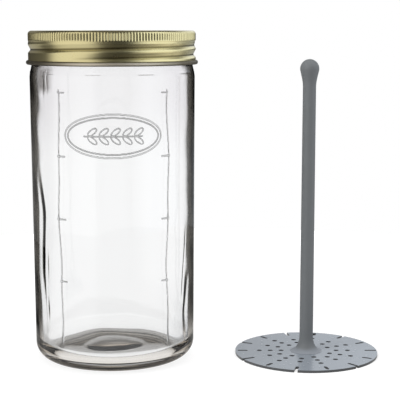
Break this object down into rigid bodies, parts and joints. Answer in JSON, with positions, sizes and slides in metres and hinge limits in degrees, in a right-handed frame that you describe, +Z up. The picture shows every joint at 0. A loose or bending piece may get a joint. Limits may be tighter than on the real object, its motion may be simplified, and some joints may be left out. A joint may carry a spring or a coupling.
{
  "type": "pickle keeper with lift strainer",
  "caption": "Wide-mouth glass keeper with a two-piece gold screw lid, and a separate long-stemmed strainer plate that lifts pickles out of the brine.",
  "frame": {"origin": "middle of the whole set's base, on the surface it stands on", "axes": "+Z up, +X from the jar towards the lifter, -Y towards the viewer"},
  "size_m": [0.2102, 0.101, 0.195],
  "materials": {
    "clear_glass": "clear pressed and blown soda-lime glass, slightly wavy inside",
    "gold_lacquer": "satin gold lacquer on tinplate",
    "sealing_compound": "soft matt sealing compound",
    "grey_plate": "semi-gloss blue-grey moulded plastic",
    "grey_stem": "matt dark grey moulded plastic"
  },
  "bodies": {
    "jar": {"jar": "clear_glass"},
    "lid_disc": {"lid_disc": "gold_lacquer", "seal_ring": "sealing_compound"},
    "screw_band": {"screw_band": "gold_lacquer"},
    "lifter": {"strainer_plate": "grey_plate", "lifter_stem": "grey_stem"}
  },
  "joints": [
    {"name": "lid_rise", "type": "slide", "parent": "jar", "child": "lid_disc", "axis": [0, 0, 1], "range_m": [0, 0.02385]},
    {"name": "band_turn", "type": "hinge", "parent": "lid_disc", "child": "screw_band", "pos_m": [-0.0546, 0, 0.185], "axis": [0, 0, 1], "range_deg": [0, 1620]},
    {"name": "lifter_lift", "type": "slide", "parent": "jar", "child": "lifter", "axis": [0, 0, 1], "range_m": [0, 0.2]}
  ],
  "couplings": [
    {"joint": "lid_rise", "follows": "band_turn", "m_per_rad": 0.00084352}
  ]
}
